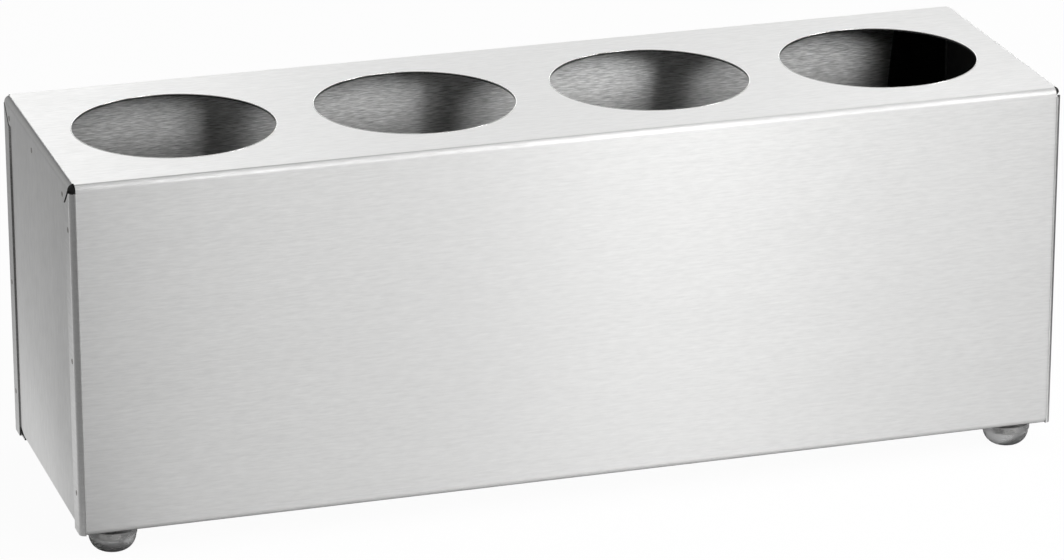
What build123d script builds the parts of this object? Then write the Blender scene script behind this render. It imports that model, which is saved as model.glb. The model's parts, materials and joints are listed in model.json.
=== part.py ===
"""Cutlery holder of folded stainless sheet.

One sheet makes the cover: front, top and rear, with a row of round holes for cutlery cylinders,
flanges folded over both ends, and inward returns along the lower edges. A flat panel is welded
behind the flanges at each end. Four domed feet on threaded studs are bolted to the returns.

Millimetres. +X runs to the right along the row of holes, +Y to the rear and +Z up.
The origin is on the floor, under the middle of the holder.
"""

import os
from math import cos, pi, sin, sqrt

from build123d import *

# Cover, outside sizes
length = 500.0
depth = 150.0
cover_height = 177.0  # without the feet

# Sheet and folds of the cover
sheet = 1.0
fold_radius = 2.0  # inside of every fold
flange_width = 12.0  # over an end, from the outer face of the sheet that it is folded from
return_width = 28.0  # under the cover, from the outer face of the front or rear
return_ear = 15.0  # width of the ears beside the folds, which close the corners under the end panels
ear_fit = 0.3  # gap from an ear to the flange that it runs up to
mitre_gap = 1.6  # between two flanges that meet at a corner
relief_slit = 0.4  # between the lower fold and the fold up the corner
flange_lift = 0.4  # lower end of the side flanges above the cover's underside

# Row of holes for the cutlery cylinders
hole_count = 4
hole_diameter = 99.0
hole_pitch = 121.0

# End panels
panel_sheet = 1.0
panel_fit = 0.3  # gap from a panel's edges to the folds around it
panel_lift = 2.6  # lower edge above the cover's underside
panel_top_corner = 15.0  # clipped off, clear of the mitres
panel_front_corner = 8.0  # rounded, lower
panel_rear_corner = 18.0  # rounded, lower

# Feet
foot_height = 13.0
foot_diameter = 24.0
foot_collar_height = 5.0
foot_step = 0.5  # how far the dome is set in under the collar
foot_sole_diameter = 10.0
dome_bands = 2  # tapers that make up the round of the dome
foot_from_end = 18.7  # axis of a foot from the end of the cover

# Studs, washers and nuts of the feet
stud_diameter = 5.0
stud_head_width = 8.0  # across flats
stud_head_height = 3.5
stud_head_cover = 3.0  # moulding over the head
stud_point = 1.5  # stands out past the nut
stud_fit = 0.1  # round the stud in its moulding, washer and nut
stud_hole_fit = 0.25  # round the stud in the return
washer_diameter = 10.0
washer_height = 1.0
nut_width = 8.0  # across flats
nut_height = 4.0
nut_chamfer_rise = 0.5  # height of the turned chamfer round the upper face of a nut

# Worked out from the sizes above
outer_fold = fold_radius + sheet
underside = foot_height
top = foot_height + cover_height
flat_half_length = length / 2 - outer_fold
mitre_shift = mitre_gap / sqrt(2)
through = 4 * sheet  # a cutter this long, set on a sheet, passes both of its faces
foot_from_front = return_width / 2
stud_radius = stud_diameter / 2
washer_seat = underside + sheet
nut_seat = washer_seat + washer_height
stud_foot = foot_height - stud_head_cover - stud_head_height
stud_top = nut_seat + nut_height + stud_point
foot_axes = {
    "front_left": (-length / 2 + foot_from_end, -depth / 2 + foot_from_front),
    "front_right": (length / 2 - foot_from_end, -depth / 2 + foot_from_front),
    "rear_left": (-length / 2 + foot_from_end, depth / 2 - foot_from_front),
    "rear_right": (length / 2 - foot_from_end, depth / 2 - foot_from_front),
}


def wrap():
    """Front, top, rear and lower returns: one folded section, drawn out along X."""
    outside = RectangleRounded(depth, cover_height, outer_fold)
    inside = RectangleRounded(depth - 2 * sheet, cover_height - 2 * sheet, fold_radius)
    mouth = Pos(0, -cover_height / 2) * Rectangle(depth - 2 * return_width, through)
    across = Plane(origin=(0, 0, underside + cover_height / 2), x_dir=(0, 1, 0), z_dir=(1, 0, 0))
    folded = extrude(across * (outside - inside - mouth), flat_half_length, both=True)
    slit = Pos(flat_half_length, 0, underside) * Box(2 * relief_slit, 2 * depth, 2 * outer_fold)
    open_ended = folded - slit - mirror(slit, about=Plane.YZ)
    ear_reach = length / 2 - sheet - ear_fit
    ear_middle = depth / 2 - outer_fold - return_ear / 2
    ears = Pos(0, ear_middle, underside + sheet / 2) * Box(2 * ear_reach, return_ear, sheet)
    return open_ended + ears + mirror(ears, about=Plane.XZ)


def flange_section():
    """One fold and its flange: x from the end inwards, y from the parent sheet's outer face."""
    centre = (outer_fold, outer_fold)
    outer_arc = CenterArc(centre, outer_fold, 180, 90)
    inner_arc = CenterArc(centre, fold_radius, 180, 90)
    free_edge = Polyline(
        outer_arc @ 0,
        (0, flange_width),
        (sheet, flange_width),
        inner_arc @ 0,
    )
    return make_face([outer_arc, Line(outer_arc @ 1, inner_arc @ 1), inner_arc, free_edge])


def end_outline(*points):
    """A flange's outline seen from the left end, as a block through it. Points are (y, z)."""
    seen = Plane(origin=(-length / 2, 0, 0), x_dir=(0, 1, 0), z_dir=(1, 0, 0))
    return extrude(seen * make_face(Polyline(*points, close=True)), outer_fold)


def left_side_flange():
    """Flange of the front sheet over the left end, mitred at its upper end."""
    standing = Plane(origin=(-length / 2, -depth / 2, underside))
    strip = extrude(standing * flange_section(), cover_height)
    fold_line = -depth / 2 + outer_fold
    free_edge = -depth / 2 + flange_width
    outline = end_outline(
        (-depth / 2, underside + flange_lift),
        (free_edge, underside + flange_lift),
        (free_edge, top - flange_width - mitre_shift),
        (fold_line, top - outer_fold - mitre_shift),
        (-depth / 2, top - outer_fold - mitre_shift),
    )
    return strip & outline


def left_top_flange():
    """Flange of the top sheet over the left end, mitred at both ends."""
    lying = Plane(origin=(-length / 2, depth / 2, top), x_dir=(1, 0, 0), z_dir=(0, -1, 0))
    strip = extrude(mirror(lying * flange_section(), about=Plane.XY.offset(top)), depth)
    fold_end = depth / 2 - outer_fold - mitre_shift
    free_end = depth / 2 - flange_width - mitre_shift
    outline = end_outline(
        (-fold_end, top),
        (-fold_end, top - outer_fold),
        (-free_end, top - flange_width),
        (free_end, top - flange_width),
        (fold_end, top - outer_fold),
        (fold_end, top),
    )
    return strip & outline


def cover():
    """The folded sheet with its holes."""
    side_flange = left_side_flange()
    left = [side_flange, mirror(side_flange, about=Plane.XZ), left_top_flange()]
    body = wrap()
    for flange in left:
        body += flange + mirror(flange, about=Plane.YZ)
    row = GridLocations(hole_pitch, 0, hole_count, 1)
    body -= Pos(0, 0, top) * row * Cylinder(hole_diameter / 2, through)
    stud_hole = Cylinder(stud_radius + stud_hole_fit, through)
    for x, y in foot_axes.values():
        body -= Pos(x, y, underside) * stud_hole
    return body


def end_panel(side):
    """Flat panel behind the flanges of one end: side is -1 at the left and 1 at the right."""
    half_width = depth / 2 - outer_fold - panel_fit
    lower = underside + panel_lift
    upper = top - outer_fold - panel_fit
    inner_face = length / 2 - sheet - panel_sheet
    seen = Plane(origin=(inner_face, 0, 0), x_dir=(0, 1, 0), z_dir=(1, 0, 0))
    blank = Pos(0, (lower + upper) / 2) * Rectangle(2 * half_width, upper - lower)
    blank = chamfer(blank.vertices().group_by(Axis.Y)[-1], panel_top_corner)
    corners = blank.vertices().group_by(Axis.Y)[0].sort_by(Axis.X)
    blank = fillet(corners[0], panel_front_corner)
    rear_corner = blank.vertices().group_by(Axis.Y)[0].sort_by(Axis.X)[-1]
    blank = fillet(rear_corner, panel_rear_corner)
    panel = extrude(seen * blank, panel_sheet)
    return panel if side > 0 else mirror(panel, about=Plane.YZ)


def foot_stud(fit=0):
    """Stud on its own axis, grown by a fit: hexagon head in the foot, shank up through the return."""
    hexagon = RegularPolygon(stud_head_width / 2 + fit, 6, major_radius=False)
    head = extrude(hexagon, stud_head_height)
    shank = extrude(Circle(stud_radius + fit), stud_top - stud_foot)
    return Pos(0, 0, stud_foot) * (head + shank)


def foot():
    """Moulded foot on its own axis: a straight collar over a dome, with a pocket for the stud."""
    rim = foot_diameter / 2
    dome_top = foot_height - foot_collar_height
    sole = foot_sole_diameter / 2
    turns = [band * pi / 2 / dome_bands for band in range(dome_bands + 1)]
    dome = [
        (sole + (rim - foot_step - sole) * sin(turn), dome_top * (1 - cos(turn))) for turn in turns
    ]
    profile = Polyline(
        (0, 0),
        *dome,
        (rim, dome_top),
        (rim, foot_height),
        (0, foot_height),
        close=True,
    )
    return revolve(Plane.XZ * make_face(profile), Axis.Z) - foot_stud(stud_fit)


def foot_washer():
    """Plain washer on the return."""
    ring = Circle(washer_diameter / 2) - Circle(stud_radius + stud_fit)
    return Pos(0, 0, washer_seat) * extrude(ring, washer_height)


def foot_nut():
    """Hexagon nut, its upper corners turned off by a chamfer."""
    flat_radius = nut_width / 2
    corner_radius = nut_width / sqrt(3)
    hexagon = RegularPolygon(flat_radius, 6, major_radius=False)
    prism = extrude(hexagon - Circle(stud_radius + stud_fit), nut_height)
    turned = Polyline(
        (0, 0),
        (corner_radius, 0),
        (corner_radius, nut_height - nut_chamfer_rise),
        (flat_radius, nut_height),
        (0, nut_height),
        close=True,
    )
    return Pos(0, 0, nut_seat) * (prism & revolve(Plane.XZ * make_face(turned), Axis.Z))


def at_each_foot(piece):
    """Separate copies of a piece, one on the axis of each foot."""
    return Compound(children=[Pos(x, y, 0) * piece for x, y in foot_axes.values()])


nodes = {
    "cover": cover(),
    "end_panel_left": end_panel(-1),
    "end_panel_right": end_panel(1),
    "foot_studs": at_each_foot(foot_stud()),
    "foot_washers": at_each_foot(foot_washer()),
    "foot_nuts": at_each_foot(foot_nut()),
}
for place, (x, y) in foot_axes.items():
    nodes[f"foot_{place}"] = Pos(x, y, 0) * foot()

os.makedirs("parts", exist_ok=True)
for name, shape in nodes.items():
    export_step(shape, f"parts/{name}.step")
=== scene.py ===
"""Cutlery holder of brushed stainless sheet, dressed for a studio picture.

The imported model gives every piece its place. Metres, +X to the right along the row of holes,
+Y to the rear, +Z up, and the origin on the floor under the middle of the holder.
"""

import json
from math import cos, floor, pi, radians, sin

import bpy
from mathutils import Matrix, Vector


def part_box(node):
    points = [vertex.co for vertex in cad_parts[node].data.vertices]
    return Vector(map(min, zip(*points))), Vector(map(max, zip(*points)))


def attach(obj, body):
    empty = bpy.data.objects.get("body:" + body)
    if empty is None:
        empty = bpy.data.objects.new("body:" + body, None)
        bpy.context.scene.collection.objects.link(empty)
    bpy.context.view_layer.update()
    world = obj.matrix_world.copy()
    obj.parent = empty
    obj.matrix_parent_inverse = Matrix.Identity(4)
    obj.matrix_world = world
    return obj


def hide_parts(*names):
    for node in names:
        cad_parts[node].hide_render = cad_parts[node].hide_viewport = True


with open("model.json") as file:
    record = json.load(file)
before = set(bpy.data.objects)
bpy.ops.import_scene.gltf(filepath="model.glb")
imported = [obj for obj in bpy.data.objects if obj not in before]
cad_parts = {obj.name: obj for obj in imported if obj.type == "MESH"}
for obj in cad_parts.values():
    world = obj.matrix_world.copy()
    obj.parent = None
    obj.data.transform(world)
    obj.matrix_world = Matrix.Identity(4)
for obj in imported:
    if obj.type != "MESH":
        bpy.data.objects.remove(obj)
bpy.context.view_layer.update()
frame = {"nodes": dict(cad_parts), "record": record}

# Cover: front, top and rear of one stainless sheet, 1 mm thick, folded over both ends and
# along the lower edges, with four round holes cut in the top. The sheet came brushed along its
# length, so the grain runs along the holder and turns with the folds onto the end flanges.
cover_low, cover_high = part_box("cover")
steel_dark = (0.71, 0.71, 0.705, 1.0)
steel_pale = (0.83, 0.83, 0.825, 1.0)
steel_dullness = (0.38, 0.32)  # where it is dark and where it is pale
hairline_length = 0.02
hairline_width = 0.00045
hairline_share = 0.35
scratch_length = 0.007
scratch_width = 0.0011
scratch_share = 0.55
scratch_depth = 0.00004
scratch_relief = 0.6
cloud_length = 0.16
cloud_width = 0.022
cloud_share = 0.1
fine_detail = 2.0
soft_detail = 1.0
streak_roughness = 0.6
tone_span = (0.3, 0.7)  # part of a noise that runs from dark to pale
quarter_turn = 0.25


def grey(level):
    """A neutral colour of this level."""
    return (level, level, level, 1.0)


def add_node(tree, kind, inputs=None, **settings):
    """One shader node: its settings, and its inputs as values or as sockets to link from."""
    node = tree.nodes.new("ShaderNode" + kind)
    for setting, value in settings.items():
        setattr(node, setting, value)
    for key, value in (inputs or {}).items():
        if isinstance(value, bpy.types.NodeSocket):
            tree.links.new(value, node.inputs[key])
        else:
            node.inputs[key].default_value = value
    return node


def arithmetic(tree, operation, *terms):
    """The result of one sum on numbers or sockets."""
    return add_node(tree, "Math", dict(enumerate(terms)), operation=operation).outputs[0]


def product(tree, first, *others):
    """Shares multiplied together: 1 only where all of them are 1."""
    result = first
    for share in others:
        result = arithmetic(tree, "MULTIPLY", result, share)
    return result


def graded(tree, value, span, levels, smooth=False):
    """A level that goes from the first to the second while the value crosses the span."""
    inputs = dict(enumerate((value, *span, *levels)))
    blend = "SMOOTHSTEP" if smooth else "LINEAR"
    return add_node(tree, "MapRange", inputs, interpolation_type=blend).outputs[0]


def two_tone(tree, value, dark, pale, span=tone_span):
    """A colour that goes from dark to pale while the value crosses the span."""
    tone = add_node(tree, "ValToRGB", {0: value})
    for stop, place, colour in zip(tone.color_ramp.elements, span, (dark, pale)):
        stop.position = place
        stop.color = colour
    return tone.outputs[0]


def tinted(tree, share, colour, tint):
    """A colour multiplied by a grey tint where the share is 1, and left as it is where it is 0."""
    factor = tint if isinstance(tint, bpy.types.NodeSocket) else grey(tint)
    inputs = {0: share, 6: colour, 7: factor}
    return add_node(tree, "Mix", inputs, data_type="RGBA", blend_type="MULTIPLY").outputs[2]


def either(tree, share, first, second):
    """The first direction where the share is 0 and the second where it is 1."""
    return add_node(tree, "Mix", {0: share, 4: first, 5: second}, data_type="VECTOR").outputs[1]


def empty_finish(name):
    """A material with an empty shader tree."""
    finish = bpy.data.materials.new(name)
    finish.use_nodes = True
    finish.node_tree.nodes.clear()
    return finish, finish.node_tree


def new_finish(name):
    """A material with its output joined to one surface shader."""
    finish, tree = empty_finish(name)
    surface = add_node(tree, "BsdfPrincipled")
    add_node(tree, "OutputMaterial", {"Surface": surface.outputs[0]})
    return finish, tree, surface


def streaks(tree, place, direction, length, width, detail):
    """Noise drawn out along the grain: one streak is about this long and this wide."""
    across = 1 / width
    stretch = add_node(
        tree,
        "VectorMath",
        {0: direction, 1: (1 / length - across,) * 3, 2: (across,) * 3},
        operation="MULTIPLY_ADD",
    ).outputs[0]
    drawn = add_node(tree, "VectorMath", {0: place, 1: stretch}, operation="MULTIPLY").outputs[0]
    inputs = {"Vector": drawn, "Scale": 1.0, "Detail": detail, "Roughness": streak_roughness}
    return add_node(tree, "TexNoise", inputs).outputs[0]


def brush(tree, surface, place, direction, shade):
    """Brushed stainless steel: hairlines, short scratches and faint clouds, all along the grain.

    The shade is a function that tints the steel's colour.
    """
    hairlines = streaks(tree, place, direction, hairline_length, hairline_width, fine_detail)
    scratches = streaks(tree, place, direction, scratch_length, scratch_width, fine_detail)
    clouds = streaks(tree, place, direction, cloud_length, cloud_width, soft_detail)
    marks = arithmetic(tree, "MULTIPLY", hairlines, hairline_share)
    marks = arithmetic(tree, "MULTIPLY_ADD", scratches, scratch_share, marks)
    marks = arithmetic(tree, "MULTIPLY_ADD", clouds, cloud_share, marks)
    colour = two_tone(tree, marks, steel_dark, steel_pale)
    dullness = graded(tree, marks, tone_span, steel_dullness)
    relief_inputs = {"Height": marks, "Strength": scratch_relief, "Distance": scratch_depth}
    relief = add_node(tree, "Bump", relief_inputs).outputs[0]
    tree.links.new(shade(colour), surface.inputs["Base Color"])
    tree.links.new(dullness, surface.inputs["Roughness"])
    tree.links.new(relief, surface.inputs["Normal"])
    tree.links.new(direction, surface.inputs["Tangent"])
    surface.inputs["Metallic"].default_value = 1.0
    surface.inputs["Anisotropic"].default_value = 1.0
    surface.inputs["Anisotropic Rotation"].default_value = quarter_turn


def inside(tree, place):
    """1 on the faces that look into the holder and 0 on those that look out."""
    middle = ((cover_low + cover_high) / 2).to_tuple()
    outwards = add_node(tree, "VectorMath", {0: place, 1: middle}, operation="SUBTRACT").outputs[0]
    normal = add_node(tree, "NewGeometry").outputs["Normal"]
    side = add_node(tree, "VectorMath", {0: outwards, 1: normal}, operation="DOT_PRODUCT")
    return arithmetic(tree, "LESS_THAN", side.outputs["Value"], 0.0)


cover_finish, cover_tree, cover_surface = new_finish("brushed_cover_steel")
cover_place = add_node(cover_tree, "TexCoord").outputs["Object"]
cover_normal = add_node(cover_tree, "NewGeometry").outputs["Normal"]
cover_inside = inside(cover_tree, cover_place)


def on_cover(operation, *terms):
    """The result of one sum in the cover's material."""
    return arithmetic(cover_tree, operation, *terms)


def below(value, limit):
    """1 where a value on the cover is below a limit, and 0 elsewhere."""
    return on_cover("LESS_THAN", value, limit)


def above(value, limit):
    """1 where a value on the cover is above a limit, and 0 elsewhere."""
    return on_cover("GREATER_THAN", value, limit)


def off(value, middle):
    """How far a value on the cover is from a middle, either way."""
    return on_cover("ABSOLUTE", on_cover("SUBTRACT", value, middle))


def near(value, middle, spread):
    """1 where a value on the cover is at a middle, falling to 0 at the spread either way."""
    return graded(cover_tree, off(value, middle), (0.0, spread), (1.0, 0.0))


# Where a point of the cover is, and which way its face looks
cover_x, cover_y, cover_z = add_node(cover_tree, "SeparateXYZ", {0: cover_place}).outputs
facing_x, facing_y, facing_up = add_node(cover_tree, "SeparateXYZ", {0: cover_normal}).outputs
from_end = on_cover("SUBTRACT", cover_high.x, on_cover("ABSOLUTE", cover_x))
from_side = on_cover("SUBTRACT", cover_high.y, on_cover("ABSOLUTE", cover_y))
from_top = on_cover("SUBTRACT", cover_high.z, cover_z)
facing_end = on_cover("ABSOLUTE", facing_x)
facing_side = on_cover("ABSOLUTE", facing_y)

# Edges cut through the sheet, round the holes and along the flanges
cut_tint = 0.65
hole_edge_depth = 0.0012
hole_edge_tilt = 0.5
flange_edge_depth = 0.0021
flange_edge_tilt = 0.3
standing = below(on_cover("ABSOLUTE", facing_up), hole_edge_tilt)
in_end = below(from_end, flange_edge_depth)
hole_edge = product(cover_tree, standing, below(from_top, hole_edge_depth))
flange_edge = product(cover_tree, below(facing_end, flange_edge_tilt), in_end)
cut_edge = on_cover("MAXIMUM", hole_edge, flange_edge)

# Painted shade: dark inside near the ends, on the ends of the sheet behind the flanges and in the
# mitres
dark_tint = 0.1
end_shade_reach = 0.049
end_shade_slant = 0.1
sheet_end_tilt = 0.9
flange_depth = 0.0012
lower_fold = 0.0032
mitre_reach = 0.0131
near_ends = below(on_cover("MULTIPLY_ADD", cover_z, end_shade_slant, from_end), end_shade_reach)
inner_end_shade = product(cover_tree, cover_inside, near_ends)
behind_flange = above(from_end, flange_depth)
above_fold = above(cover_z, cover_low.z + lower_fold)
sheet_end = product(cover_tree, above(facing_end, sheet_end_tilt), behind_flange, above_fold)
in_corner = below(on_cover("MAXIMUM", from_top, from_side), mitre_reach)
mitre = product(cover_tree, in_corner, cut_edge)
# Painted shade in the recesses and gaps at the ends, left off the cut edges except in the mitres
painted_end_shade = on_cover("SUBTRACT", on_cover("MAXIMUM", inner_end_shade, sheet_end), cut_edge)
painted_end_shade = on_cover("MAXIMUM", painted_end_shade, mitre)

# Painted shade: a dark line where the top starts to fold, fading to the right
painted_fold_line_tint = 0.42
painted_fold_line_tilt = 0.33
painted_fold_line_spread = 0.21
painted_fold_line_lowest = 0.5
painted_fold_line_ends = (-0.2, 0.2)
painted_fold_line_fade = (0.9, 0.1)
painted_fold_line = product(
    cover_tree,
    near(facing_side, painted_fold_line_tilt, painted_fold_line_spread),
    above(facing_up, painted_fold_line_lowest),
    graded(cover_tree, cover_x, painted_fold_line_ends, painted_fold_line_fade),
)

# Painted shade that dims the highlight where the upper folds turn, most in the middle of their length
fold_dimming_tint = 0.63
fold_tilt = 0.47
fold_spread = 0.46
fold_start = 0.3
fold_middle = 0.04
fold_reach = (0.07, 0.16)
fold_fade = (1.0, 0.5)
fold_highlight_dimming = product(
    cover_tree,
    near(facing_up, fold_tilt, fold_spread),
    above(facing_side, fold_start),
    graded(cover_tree, off(cover_x, fold_middle), fold_reach, fold_fade),
)

# Painted shade: a dark line under the lower folds
painted_lower_line_tint = 0.2
painted_lower_line_tilt = (-0.7, -0.88)
painted_lower_line_start = 0.2
painted_lower_line = product(
    cover_tree,
    graded(cover_tree, facing_up, painted_lower_line_tilt, (0.0, 1.0)),
    above(facing_side, painted_lower_line_start),
)

# The grain is lengthwise on the sheet, upright on the top flanges and crosswise on the side ones.
# The cutter left its marks lengthwise on the cut edges at the ends, and upright on the others.
lengthwise = (1.0, 0.0, 0.0)
crosswise = (0.0, 1.0, 0.0)
upright = (0.0, 0.0, 1.0)
flange_tilt = 0.7
flange_grain = either(cover_tree, below(from_top, from_side), crosswise, upright)
sheet_grain = either(cover_tree, above(facing_end, flange_tilt), lengthwise, flange_grain)
cut_grain = either(cover_tree, in_end, upright, lengthwise)
cover_grain = either(cover_tree, cut_edge, sheet_grain, cut_grain)

# Inside of the sheet: coarser streaks, and painted light and shade, pale close under the top and darker
# below
inner_streak_length = 0.005
inner_streak_width = 0.00032
inner_streak_tints = (0.45, 1.15)
inner_painted_depths = (0.017, 0.038)
inner_painted_depth_tints = (1.24, 0.68)
inner_streaks = streaks(
    cover_tree, cover_place, cover_grain, inner_streak_length, inner_streak_width, fine_detail
)
inner_coarse = graded(cover_tree, inner_streaks, tone_span, inner_streak_tints)
# Painted light and shade inside: paler under the top, where light comes in through the holes, darker
# further down
inner_painted_depth = graded(cover_tree, from_top, inner_painted_depths, inner_painted_depth_tints)


def cover_shade(colour):
    """Coarser inside and dull on the cut edges, with painted light and shade inside and painted shade
    along the folds.
    """
    tints = (
        (cover_inside, inner_coarse),
        (cover_inside, inner_painted_depth),
        (painted_end_shade, dark_tint),
        (painted_fold_line, painted_fold_line_tint),
        (fold_highlight_dimming, fold_dimming_tint),
        (painted_lower_line, painted_lower_line_tint),
        (cut_edge, cut_tint),
    )
    for share, tint in tints:
        colour = tinted(cover_tree, share, colour, tint)
    return colour


brush(cover_tree, cover_surface, cover_place, cover_grain, cover_shade)
frame["nodes"]["cover"].material_slots[0].material = cover_finish

# Hole rims: the upper edge of each hole, rubbed down after cutting so that it is smooth to the
# hand. The rubbed edge is a fine bright bead all round the hole.
rim_bead = 0.0003
rim_bead_sides = 16
rim_steps = 120
rim_dark = (0.74, 0.74, 0.73, 1.0)
rim_pale = (0.86, 0.86, 0.85, 1.0)
rim_spot = 0.0015
rim_dullness = (0.26, 0.16)
spot_detail = 3.0


def arc(centre, radii, start, end, steps):
    """Points of a circle or ellipse between two angles, in degrees, as (radius, height)."""
    turns = [radians(start + (end - start) * i / steps) for i in range(steps + 1)]
    return [(centre[0] + radii[0] * cos(a), centre[1] + radii[1] * sin(a)) for a in turns]


def lathe(profile, steps, closed=False, flats=None):
    """Points and faces of a piece turned on the Z axis, from (radius, height) up its outside.

    A closed profile makes a ring. Where a width across flats is given, it is cut to a hexagon.
    """
    points, rings, faces = [], [], []
    for radius, height in profile:
        ring = []
        for i in range(steps if radius else 1):
            turn = 2 * pi * i / steps
            reach = min(radius, flats / 2 / cos(turn % (pi / 3) - pi / 6)) if flats else radius
            ring.append(len(points))
            points.append(Vector((reach * cos(turn), reach * sin(turn), height)))
        rings.append(ring)
    for lower, upper in zip(rings, rings[1:] + rings[:1] if closed else rings[1:]):
        for i in range(steps):
            corners = [lower[i % len(lower)], lower[(i + 1) % len(lower)]]
            corners += [upper[(i + 1) % len(upper)], upper[i % len(upper)]]
            faces.append(tuple(dict.fromkeys(corners)))
    return points, faces


def place_piece(name, shape, places, finish, crease=180):
    """One object with a copy of a shape at each place, riding on the holder.

    Edges that turn by more than the crease, in degrees, stay sharp.
    """
    points, faces = shape
    mesh = bpy.data.meshes.new(name)
    mesh.from_pydata(
        [place @ point for place in places for point in points],
        [],
        [tuple(i + n * len(points) for i in face) for n in range(len(places)) for face in faces],
    )
    mesh.shade_smooth()
    mesh.set_sharp_from_angle(angle=radians(crease))
    mesh.materials.append(finish)
    piece = bpy.data.objects.new(name, mesh)
    bpy.context.scene.collection.objects.link(piece)
    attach(piece, "root")
    return piece


def mottled(name, dark, pale, spot, dullness):
    """Plain metal with small spots, some darker and some paler, each with its own dullness."""
    finish, tree, surface = new_finish(name)
    place = add_node(tree, "TexCoord").outputs["Object"]
    inputs = {"Vector": place, "Scale": 1 / spot, "Detail": spot_detail}
    spots = add_node(tree, "TexNoise", inputs).outputs[0]
    tree.links.new(two_tone(tree, spots, dark, pale), surface.inputs["Base Color"])
    tree.links.new(graded(tree, spots, tone_span, dullness), surface.inputs["Roughness"])
    surface.inputs["Metallic"].default_value = 1.0
    return finish


rim_finish = mottled("burnished_rim_steel", rim_dark, rim_pale, rim_spot, rim_dullness)
rim_bead_end = 360 - 360 / rim_bead_sides
for mount in frame["record"]["mounts"]:
    if mount["kind"] == "bore":
        rim_centre = (mount["dims"]["r_mm"] / 1000 + rim_bead / 2, -rim_bead / 2)
        bead = arc(rim_centre, (rim_bead, rim_bead), 0, rim_bead_end, rim_bead_sides - 1)
        rim_place = Matrix.Translation((mount["pos_m"][0], mount["pos_m"][1], cover_high.z))
        rim = lathe(bead, rim_steps, closed=True)
        place_piece("rim_of_" + mount["name"], rim, [rim_place], rim_finish)

# End panels: a flat sheet at each end, set behind the flanges of the cover and spot-welded to
# them. They are cut from the same brushed steel, with the grain upright.
# Painted shade on the end panels' inner faces, inside the holder
panel_inner_shade_tint = 0.2
panel_finish, panel_tree, panel_surface = new_finish("brushed_panel_steel")
panel_place = add_node(panel_tree, "TexCoord").outputs["Object"]
panel_inside = inside(panel_tree, panel_place)
panel_grain = add_node(panel_tree, "CombineXYZ", dict(enumerate(upright))).outputs[0]


def panel_shade(colour):
    """Painted shade: dark on the inner face."""
    return tinted(panel_tree, panel_inside, colour, panel_inner_shade_tint)


brush(panel_tree, panel_surface, panel_place, panel_grain, panel_shade)
for end in ("left", "right"):
    frame["nodes"]["end_panel_" + end].material_slots[0].material = panel_finish

# Spot welds: small round dents that the electrodes left on the flanges, where each end panel is
# welded to the cover. The heat has turned the steel in them a dull brown-grey.
weld_radius = 0.0014
weld_ring = 0.00112
weld_height = 0.00012
weld_dish = 0.3  # what is left of the height in the middle
weld_sink = 0.00003
weld_steps = 24
weld_profile_steps = 4
weld_from_top = 0.0087
weld_from_front = 0.0057
weld_from_rear = 0.0065
top_welds_from_rear = (0.0144, 0.066, 0.134)
front_welds_from_below = (0.021, 0.088, 0.1538)
rear_welds_from_below = (0.0225, 0.0805)
weld_dark = (0.16, 0.15, 0.145, 1.0)
weld_pale = (0.42, 0.40, 0.38, 1.0)
weld_spot = 0.0006
weld_dullness = (0.6, 0.4)

weld_finish = mottled("heat_tinted_steel", weld_dark, weld_pale, weld_spot, weld_dullness)
weld_centres = [(cover_high.y - back, cover_high.z - weld_from_top) for back in top_welds_from_rear]
weld_centres += [(cover_low.y + weld_from_front, cover_low.z + up) for up in front_welds_from_below]
weld_centres += [(cover_high.y - weld_from_rear, cover_low.z + up) for up in rear_welds_from_below]
weld_profile = [(0, 0)]
weld_profile += arc((weld_ring, 0), (weld_radius - weld_ring, weld_height), 0, 90, weld_profile_steps)
for i in reversed(range(weld_profile_steps)):
    share = i / weld_profile_steps
    weld_profile.append((weld_ring * share, weld_height * (weld_dish + (1 - weld_dish) * share**2)))
weld_shape = lathe(weld_profile, weld_steps)
for end, side in (("left", -1), ("right", 1)):
    weld_face = side * (cover_high.x - weld_sink)
    facing_out = Matrix.Rotation(radians(90 * side), 4, "Y")
    weld_places = [Matrix.Translation((weld_face, y, z)) @ facing_out for y, z in weld_centres]
    place_piece("spot_welds_" + end, weld_shape, weld_places, weld_finish)

# Corner welds: short beads of weld that close the slits between the folds at the four lower
# corners, dressed flush with the sheet and brushed over with it.
bead_fold_outer = 0.003
bead_fold_inner = 0.002
bead_half_width = 0.0004
bead_sink = 0.00001
bead_steps = 12
bead_crease = 40
bead_centre = (cover_low.y + bead_fold_outer, cover_low.z + bead_fold_outer)
bead_outer = arc(bead_centre, (bead_fold_outer - bead_sink,) * 2, 180, 270, bead_steps)
bead_inner = arc(bead_centre, (bead_fold_inner + bead_sink,) * 2, 270, 180, bead_steps)
bead_outline = bead_outer + bead_inner
bead_ends = (-bead_half_width, bead_half_width)
bead_points = [Vector((x, y, z)) for x in bead_ends for y, z in bead_outline]
bead_count = len(bead_outline)
bead_faces = []
for i in range(bead_count):
    following = (i + 1) % bead_count
    bead_faces.append((i, following, following + bead_count, i + bead_count))
for i in range(bead_steps):
    bead_cap = (i, bead_count - 1 - i, bead_count - 2 - i, i + 1)
    bead_faces.append(bead_cap)
    bead_faces.append(tuple(corner + bead_count for corner in reversed(bead_cap)))
bead_shape = (bead_points, bead_faces)
bead_from_middle = cover_high.x - bead_fold_outer
half_turn = Matrix.Rotation(pi, 4, "Z")
bead_places = [Matrix.Translation((side * bead_from_middle, 0, 0)) for side in (-1, 1)]
bead_places += [half_turn @ place for place in bead_places]
place_piece("corner_welds", bead_shape, bead_places, cover_finish, bead_crease)

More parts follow.
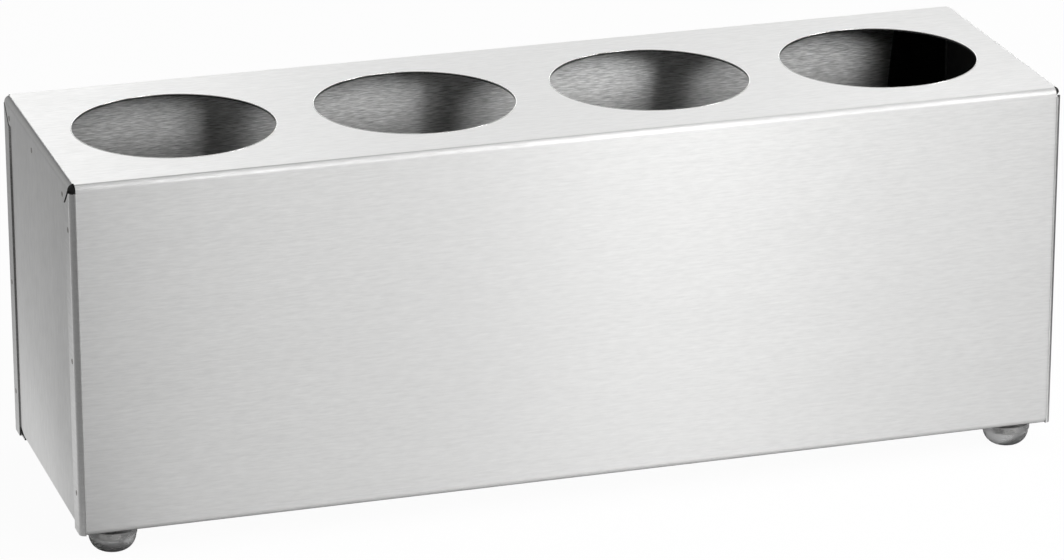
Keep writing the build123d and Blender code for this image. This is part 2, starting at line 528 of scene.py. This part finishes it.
# Feet: round domes of clear smoky plastic with a flat sole and a short collar, moulded round the
# head of a stud. A narrow neck seats each foot against the lower return of the cover.
foot_height = 0.013
foot_sole_radius = 0.0046
foot_dome_radius = 0.0116
foot_dome_height = 0.0082
foot_rim_radius = 0.0120
foot_edge = 0.0004
foot_neck_radius = 0.0085
foot_neck_height = 0.0013
foot_air = 0.00003
foot_steps = 72
foot_dome_steps = 20
foot_edge_steps = 5
foot_crease = 40
foot_dark = grey(0.5)
foot_pale = grey(0.76)
foot_clearness = 0.75
foot_refraction = 1.49
foot_flow = 0.008
foot_layer = 0.0016
foot_colour_span = (0.0, 1.0)
foot_haze_span = (0.35, 0.7)
foot_haze = (0.24, 0.4)

foot_finish, foot_tree, foot_surface = new_finish("smoky_clear_plastic")
foot_place = add_node(foot_tree, "TexCoord").outputs["Object"]
foot_layers = (1 / foot_flow, 1 / foot_flow, 1 / foot_layer)
foot_drawn = add_node(foot_tree, "VectorMath", {0: foot_place, 1: foot_layers}, operation="MULTIPLY")
foot_noise = {"Vector": foot_drawn.outputs[0], "Scale": 1.0, "Detail": fine_detail}
foot_scuffs = add_node(foot_tree, "TexNoise", foot_noise).outputs[0]
foot_colour = two_tone(foot_tree, foot_scuffs, foot_dark, foot_pale, foot_colour_span)
foot_dullness = graded(foot_tree, foot_scuffs, foot_haze_span, foot_haze)
foot_tree.links.new(foot_colour, foot_surface.inputs["Base Color"])
foot_tree.links.new(foot_dullness, foot_surface.inputs["Roughness"])
foot_surface.inputs["Transmission Weight"].default_value = foot_clearness
foot_surface.inputs["IOR"].default_value = foot_refraction

foot_collar = foot_rim_radius - foot_edge
foot_collar_low = foot_dome_height + foot_edge
foot_shoulder = foot_height - foot_neck_height
foot_dome = (foot_dome_radius - foot_sole_radius, foot_dome_height)
foot_round = (foot_edge, foot_edge)
foot_profile = [(0, 0)]
foot_profile += arc((foot_sole_radius, foot_dome_height), foot_dome, -90, 0, foot_dome_steps)
foot_profile += arc((foot_collar, foot_collar_low), foot_round, -90, 0, foot_edge_steps)
foot_profile += arc((foot_collar, foot_shoulder - foot_edge), foot_round, 0, 90, foot_edge_steps)
foot_profile += [(foot_neck_radius, foot_shoulder), (foot_neck_radius, foot_height - foot_air)]
foot_profile += [(0, foot_height - foot_air)]
foot_shape = lathe(foot_profile, foot_steps)
foot_axes = []
for corner in ("front_left", "front_right", "rear_left", "rear_right"):
    low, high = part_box("foot_" + corner)
    axis = Matrix.Translation(((low.x + high.x) / 2, (low.y + high.y) / 2, 0))
    foot = place_piece(
        "clear_foot_" + corner, foot_shape, [axis], foot_finish, foot_crease
    )
    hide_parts("foot_" + corner)
    foot_axes.append(axis)

# Studs: a threaded stud of zinc-plated steel in each foot. Its hexagon head is moulded in, and
# its shank goes up through the return, the washer and the nut.
stud_low, stud_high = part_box("foot_studs")
stud_thread_radius = 0.0025
stud_thread_depth = 0.0004
stud_pitch = 0.0008
stud_rows_per_turn = 6
stud_thread_steps = 24
stud_head_flats = 0.008
stud_head_height = 0.0035
stud_root = 0.0003
stud_point = 0.0005
hexagon_steps = 72
hexagon_crease = 30
hexagon_face_share = 0.95
hexagon_chamfer_slope = 0.58
hexagon_chamfer_steps = 5
zinc_dark = (0.52, 0.52, 0.51, 1.0)
zinc_pale = (0.74, 0.74, 0.72, 1.0)
zinc_spot = 0.002
zinc_dullness = (0.42, 0.28)
fastener_finish = mottled("zinc_plated_steel", zinc_dark, zinc_pale, zinc_spot, zinc_dullness)


def threaded(bottom, top, steps):
    """Points and faces of a screw thread round the Z axis, with a chamfered upper end."""
    rows = round((top - bottom) / stud_pitch * stud_rows_per_turn)
    points, faces = [], []
    for row in range(rows + 1):
        height = bottom + (top - bottom) * row / rows
        most = stud_thread_radius - max(0, height - (top - stud_point))
        for i in range(steps):
            turn = 2 * pi * i / steps
            along = height / stud_pitch - i / steps
            groove = abs(2 * (along - floor(along)) - 1)
            reach = min(stud_thread_radius - stud_thread_depth * groove, most)
            points.append(Vector((reach * cos(turn), reach * sin(turn), height)))
    for row in range(rows):
        for i in range(steps):
            start, following = row * steps + i, row * steps + (i + 1) % steps
            faces.append((start, following, following + steps, start + steps))
    faces.append(tuple(range(steps))[::-1])
    faces.append(tuple(range(rows * steps, (rows + 1) * steps)))
    return points, faces


def joined(first, second):
    """Two shapes as one."""
    moved = [tuple(i + len(first[0]) for i in face) for face in second[1]]
    return first[0] + second[0], first[1] + moved


def hexagon_profile(bottom, height, flats):
    """Outside of a hexagon piece with both ends chamfered, for a lathe that cuts it to its flats."""
    corner = flats / 2 / cos(pi / 6)
    face = flats / 2 * hexagon_face_share
    chamfer = (corner - face) * hexagon_chamfer_slope
    shares = [i / hexagon_chamfer_steps for i in range(hexagon_chamfer_steps + 1)]
    lower = [(face + (corner - face) * share, bottom + chamfer * share) for share in shares]
    return lower + [(radius, 2 * bottom + height - level) for radius, level in reversed(lower)]


stud_head_top = stud_low.z + stud_head_height
stud_head = [(0, stud_low.z)]
stud_head += hexagon_profile(stud_low.z, stud_head_height, stud_head_flats)
stud_head += [(0, stud_head_top)]
stud_shape = joined(
    lathe(stud_head, hexagon_steps, flats=stud_head_flats),
    threaded(stud_head_top - stud_root, stud_high.z, stud_thread_steps),
)
studs = place_piece(
    "threaded_studs", stud_shape, foot_axes, fastener_finish, hexagon_crease
)
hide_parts("foot_studs")

# Washers: plain rings of zinc-plated steel over the studs, punched out, so that their edges are
# slightly rounded. They lie on the return, under the nuts.
washer_low, washer_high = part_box("foot_washers")
washer_radius = 0.005
washer_bore = 0.00265
washer_edge = 0.00018
washer_steps = 48
washer_edge_steps = 3
washer_crease = 40
washer_outer = washer_radius - washer_edge
washer_inner = washer_bore + washer_edge
washer_lower = washer_low.z + washer_edge
washer_upper = washer_high.z - washer_edge
washer_corners = ((washer_outer, washer_lower), (washer_outer, washer_upper))
washer_corners += ((washer_inner, washer_upper), (washer_inner, washer_lower))
washer_profile = []
for quarter, corner in enumerate(washer_corners):
    start = 90 * quarter - 90
    washer_profile += arc(corner, (washer_edge, washer_edge), start, start + 90, washer_edge_steps)
washer_shape = lathe(washer_profile, washer_steps, closed=True)
washers = place_piece(
    "plain_washers", washer_shape, foot_axes, fastener_finish, washer_crease
)
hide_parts("foot_washers")

# Nuts: hexagon nuts of zinc-plated steel that pull the feet against the return, with both faces
# chamfered and a countersunk thread.
nut_low, nut_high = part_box("foot_nuts")
nut_flats = 0.008
nut_bore = 0.00255
nut_sink = 0.0004
nut_profile = hexagon_profile(nut_low.z, nut_high.z - nut_low.z, nut_flats)
nut_profile += [(nut_bore + nut_sink, nut_high.z), (nut_bore, nut_high.z - nut_sink)]
nut_profile += [(nut_bore, nut_low.z + nut_sink), (nut_bore + nut_sink, nut_low.z)]
nut_shape = lathe(nut_profile, hexagon_steps, closed=True, flats=nut_flats)
nuts = place_piece(
    "hexagon_nuts", nut_shape, foot_axes, fastener_finish, hexagon_crease
)
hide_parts("foot_nuts")

# Floor: a plain white studio table. It is white to the camera, with the holder's soft shadow on it.
# The steel mirrors painted light and shade on it: a painted pool of light in front that turns grey
# past its edges, a painted shadow under the holder, and a painted glowing patch beside the left end.
table_half = 6.0
table_white = 0.9
painted_shade_grey = 0.2
lit_right = 0.27
lit_right_slant = 0.3
lit_left = -0.17
lit_left_slant = -0.1
lit_fade = 0.12
patch_slant = 0.65
patch_outer = (-0.45, -0.3)
patch_outer_glow = (0.18, 0.85)
patch_inner = (-0.24, -0.08)
patch_inner_share = (1.0, 0.35)
patch_rear = (0.05, 0.25)
patch_rear_share = (0.9, 1.12)
patch_front = (-0.08, 0.0)
patch_front_share = (0.45, 1.0)
beside_glow = 0.03
camera_glow = 0.94
glow_strength = 1.02
table_mesh = bpy.data.meshes.new("studio_table")
table_corners = [(-table_half, -table_half, 0), (table_half, -table_half, 0)]
table_corners += [(table_half, table_half, 0), (-table_half, table_half, 0)]
table_mesh.from_pydata(table_corners, [], [(0, 1, 2, 3)])
table = bpy.data.objects.new("studio_table", table_mesh)
bpy.context.scene.collection.objects.link(table)
table_finish, table_tree = empty_finish("white_table")


def on_table(operation, *terms):
    """The result of one sum in the table's material."""
    return arithmetic(table_tree, operation, *terms)


table_seen = add_node(table_tree, "LightPath")
table_shown = table_seen.outputs["Is Camera Ray"]
table_clear = on_table("MAXIMUM", table_shown, table_seen.outputs["Is Transmission Ray"])
table_place = add_node(table_tree, "TexCoord").outputs["Object"]
table_x, table_y, _ = add_node(table_tree, "SeparateXYZ", {0: table_place}).outputs
past_ends = on_table("GREATER_THAN", on_table("ABSOLUTE", table_x), cover_high.x)
past_sides = on_table("GREATER_THAN", on_table("ABSOLUTE", table_y), cover_high.y)
beside = on_table("MAXIMUM", past_ends, past_sides)
# Painted light: a pool of light in front, turning to painted grey past its slanted edges
painted_light_tone = table_white
lit_sides = ((lit_right, lit_fade, lit_right_slant), (lit_left, -lit_fade, lit_left_slant))
for edge, fade, slant in lit_sides:
    slanted = on_table("MULTIPLY_ADD", table_y, slant, table_x)
    tones = (table_white, painted_shade_grey)
    side_tone = graded(table_tree, slanted, (edge, edge + fade), tones, smooth=True)
    painted_light_tone = on_table("MINIMUM", painted_light_tone, side_tone)
# Painted shadow: grey under the holder and white beside it
painted_shadow_tone = on_table("MULTIPLY_ADD", beside, table_white - painted_shade_grey, painted_shade_grey)
shown_tone = on_table("MULTIPLY", table_clear, table_white)
table_tone = on_table("MAXIMUM", on_table("MINIMUM", painted_light_tone, painted_shadow_tone), shown_tone)
# Painted light: a glowing patch beside the left end, seen only in the steel
patch_line = on_table("MULTIPLY_ADD", table_y, patch_slant, table_x)
left_glow = product(
    table_tree,
    graded(table_tree, patch_line, patch_outer, patch_outer_glow, smooth=True),
    on_table("LESS_THAN", table_x, cover_low.x),
    graded(table_tree, patch_line, patch_inner, patch_inner_share),
    graded(table_tree, table_y, patch_rear, patch_rear_share),
    graded(table_tree, table_y, patch_front, patch_front_share),
)
# A faint painted glow on the rest of the floor beside the holder, seen only in the steel
side_glow = on_table("MAXIMUM", left_glow, on_table("MULTIPLY", beside, beside_glow))
mirror_glow = on_table("MULTIPLY", table_seen.outputs["Is Glossy Ray"], side_glow)
glow_share = on_table("MAXIMUM", on_table("MULTIPLY", table_shown, camera_glow), mirror_glow)
table_paint = add_node(table_tree, "BsdfDiffuse", {"Color": table_tone}).outputs[0]
glow_inputs = {"Color": grey(1.0), "Strength": glow_strength}
table_glow = add_node(table_tree, "Emission", glow_inputs).outputs[0]
table_mix = add_node(table_tree, "MixShader", {0: glow_share, 1: table_paint, 2: table_glow}).outputs[0]
add_node(table_tree, "OutputMaterial", {"Surface": table_mix})
table_mesh.materials.append(table_finish)

# Studio light: a white surround with a bright screen behind the holder, a bank of five tall
# soft strips in front on the right, a soft lamp overhead, and one far to the right.
fill_level = 0.15
room_span = (-0.4, 0.0)
room_levels = (0.36, 0.12)
far_left_span = (-0.9, -0.4)
far_left_levels = (0.12, 0.0)
screen_side = Vector((0.12, 0.87, 0.38)).normalized().to_tuple()
screen_span = (0.78, 0.95)
screen_levels = (0.0, 2.5)
screen_stops = ((0.0, 0.02), (0.13, 0.97), (0.28, 0.36), (0.45, 0.76))
surround = bpy.data.worlds.new("studio_surround")
bpy.context.scene.world = surround
surround.use_nodes = True
surround_tree = surround.node_tree
surround_tree.nodes.clear()
surround_seen = add_node(surround_tree, "LightPath").outputs
surround_mirrored = surround_seen["Is Glossy Ray"]
surround_shown = arithmetic(
    surround_tree, "MAXIMUM", surround_seen["Is Camera Ray"], surround_seen["Is Transmission Ray"]
)
towards = add_node(surround_tree, "TexCoord").outputs["Generated"]
towards_right = add_node(surround_tree, "SeparateXYZ", {0: towards}).outputs[0]
towards_screen = add_node(
    surround_tree, "VectorMath", {0: towards, 1: screen_side}, operation="DOT_PRODUCT"
).outputs["Value"]
screen_share = graded(surround_tree, towards_screen, screen_span, screen_levels, smooth=True)
screen_across = add_node(surround_tree, "ValToRGB", {0: towards_right})
screen_ramp = screen_across.color_ramp
screen_ramp.interpolation = "EASE"
for place, _ in screen_stops[len(screen_ramp.elements):]:
    screen_ramp.elements.new(place)
for stop, (place, level) in zip(screen_ramp.elements, screen_stops):
    stop.position = place
    stop.color = grey(level)
room_across = graded(surround_tree, towards_right, room_span, room_levels)
far_left = graded(surround_tree, towards_right, far_left_span, far_left_levels)
wall_level = arithmetic(
    surround_tree, "MULTIPLY_ADD", screen_share, screen_across.outputs[0], room_across
)
wall_level = arithmetic(surround_tree, "ADD", wall_level, far_left)


def white_surround(strength):
    """White light of this strength from all round."""
    inputs = {"Color": grey(1.0), "Strength": strength}
    return add_node(surround_tree, "Background", inputs).outputs[0]


surround_lit = add_node(
    surround_tree,
    "MixShader",
    {0: surround_mirrored, 1: white_surround(fill_level), 2: white_surround(wall_level)},
).outputs[0]
surround_mix = add_node(
    surround_tree, "MixShader", {0: surround_shown, 1: surround_lit, 2: white_surround(1.0)}
).outputs[0]
add_node(surround_tree, "OutputWorld", {"Surface": surround_mix})


def soft_lamp(name, at, aim, width, height, power):
    """A soft lamp with a rectangular screen, pointed at a place near the holder."""
    lamp = bpy.data.lights.new(name, "AREA")
    lamp.shape = "RECTANGLE"
    lamp.size = width
    lamp.size_y = height
    lamp.energy = power
    stand = bpy.data.objects.new(name, lamp)
    stand.location = at
    stand.rotation_euler = (Vector(aim) - Vector(at)).to_track_quat("-Z", "Y").to_euler()
    stand.visible_camera = False
    bpy.context.scene.collection.objects.link(stand)


bank_middle = Vector((0.69, -1.84, 1.26))
bank_aim = Vector((0.0, 0.0, 0.1))
strip_width = 0.2
strip_height = 1.1
strip_powers = (3.7, 1.15, 6.4, 1.9, 4.0)
bank_across = (bank_aim - bank_middle).cross(Vector(upright)).normalized()
for i, power in enumerate(strip_powers):
    shift = bank_across * strip_width * (i - len(strip_powers) // 2)
    strip_place = bank_middle + shift
    soft_lamp(f"lamp_front_{i + 1}", strip_place, bank_aim + shift, strip_width, strip_height, power)
right_place = (1.8, -0.9, 1.3)
right_aim = (0.1, -0.2, 0.0)
right_size = 0.8
right_power = 18.0
soft_lamp("lamp_right", right_place, right_aim, right_size, right_size, right_power)
overhead_place = (0.5, 0.05, 1.95)
overhead_aim = (0.5, 0.05, 0.0)
overhead_width = 1.1
overhead_depth = 1.5
overhead_power = 3.8
soft_lamp("lamp_overhead", overhead_place, overhead_aim, overhead_width, overhead_depth, overhead_power)

# Camera: a long lens from well back, a little to the left of the holder's front and above it,
# so that the holder fills the width of the picture.
view_point = Vector((-0.7309, -2.3435, 0.9773))
view_tilt = radians(70.147)
view_roll = radians(0.06)
view_heading = radians(-17.331)
view_lens = 177.02  # millimetres, for the width of the sensor
view_sensor = 36.0
camera = bpy.data.cameras.new("camera")
camera.sensor_width = view_sensor
camera.lens = view_lens
camera_holder = bpy.data.objects.new("camera", camera)
camera_holder.location = view_point
camera_holder.rotation_euler = (view_tilt, view_roll, view_heading)
bpy.context.scene.collection.objects.link(camera_holder)
bpy.context.scene.camera = camera_holder
bpy.context.scene.view_settings.view_transform = "Standard"
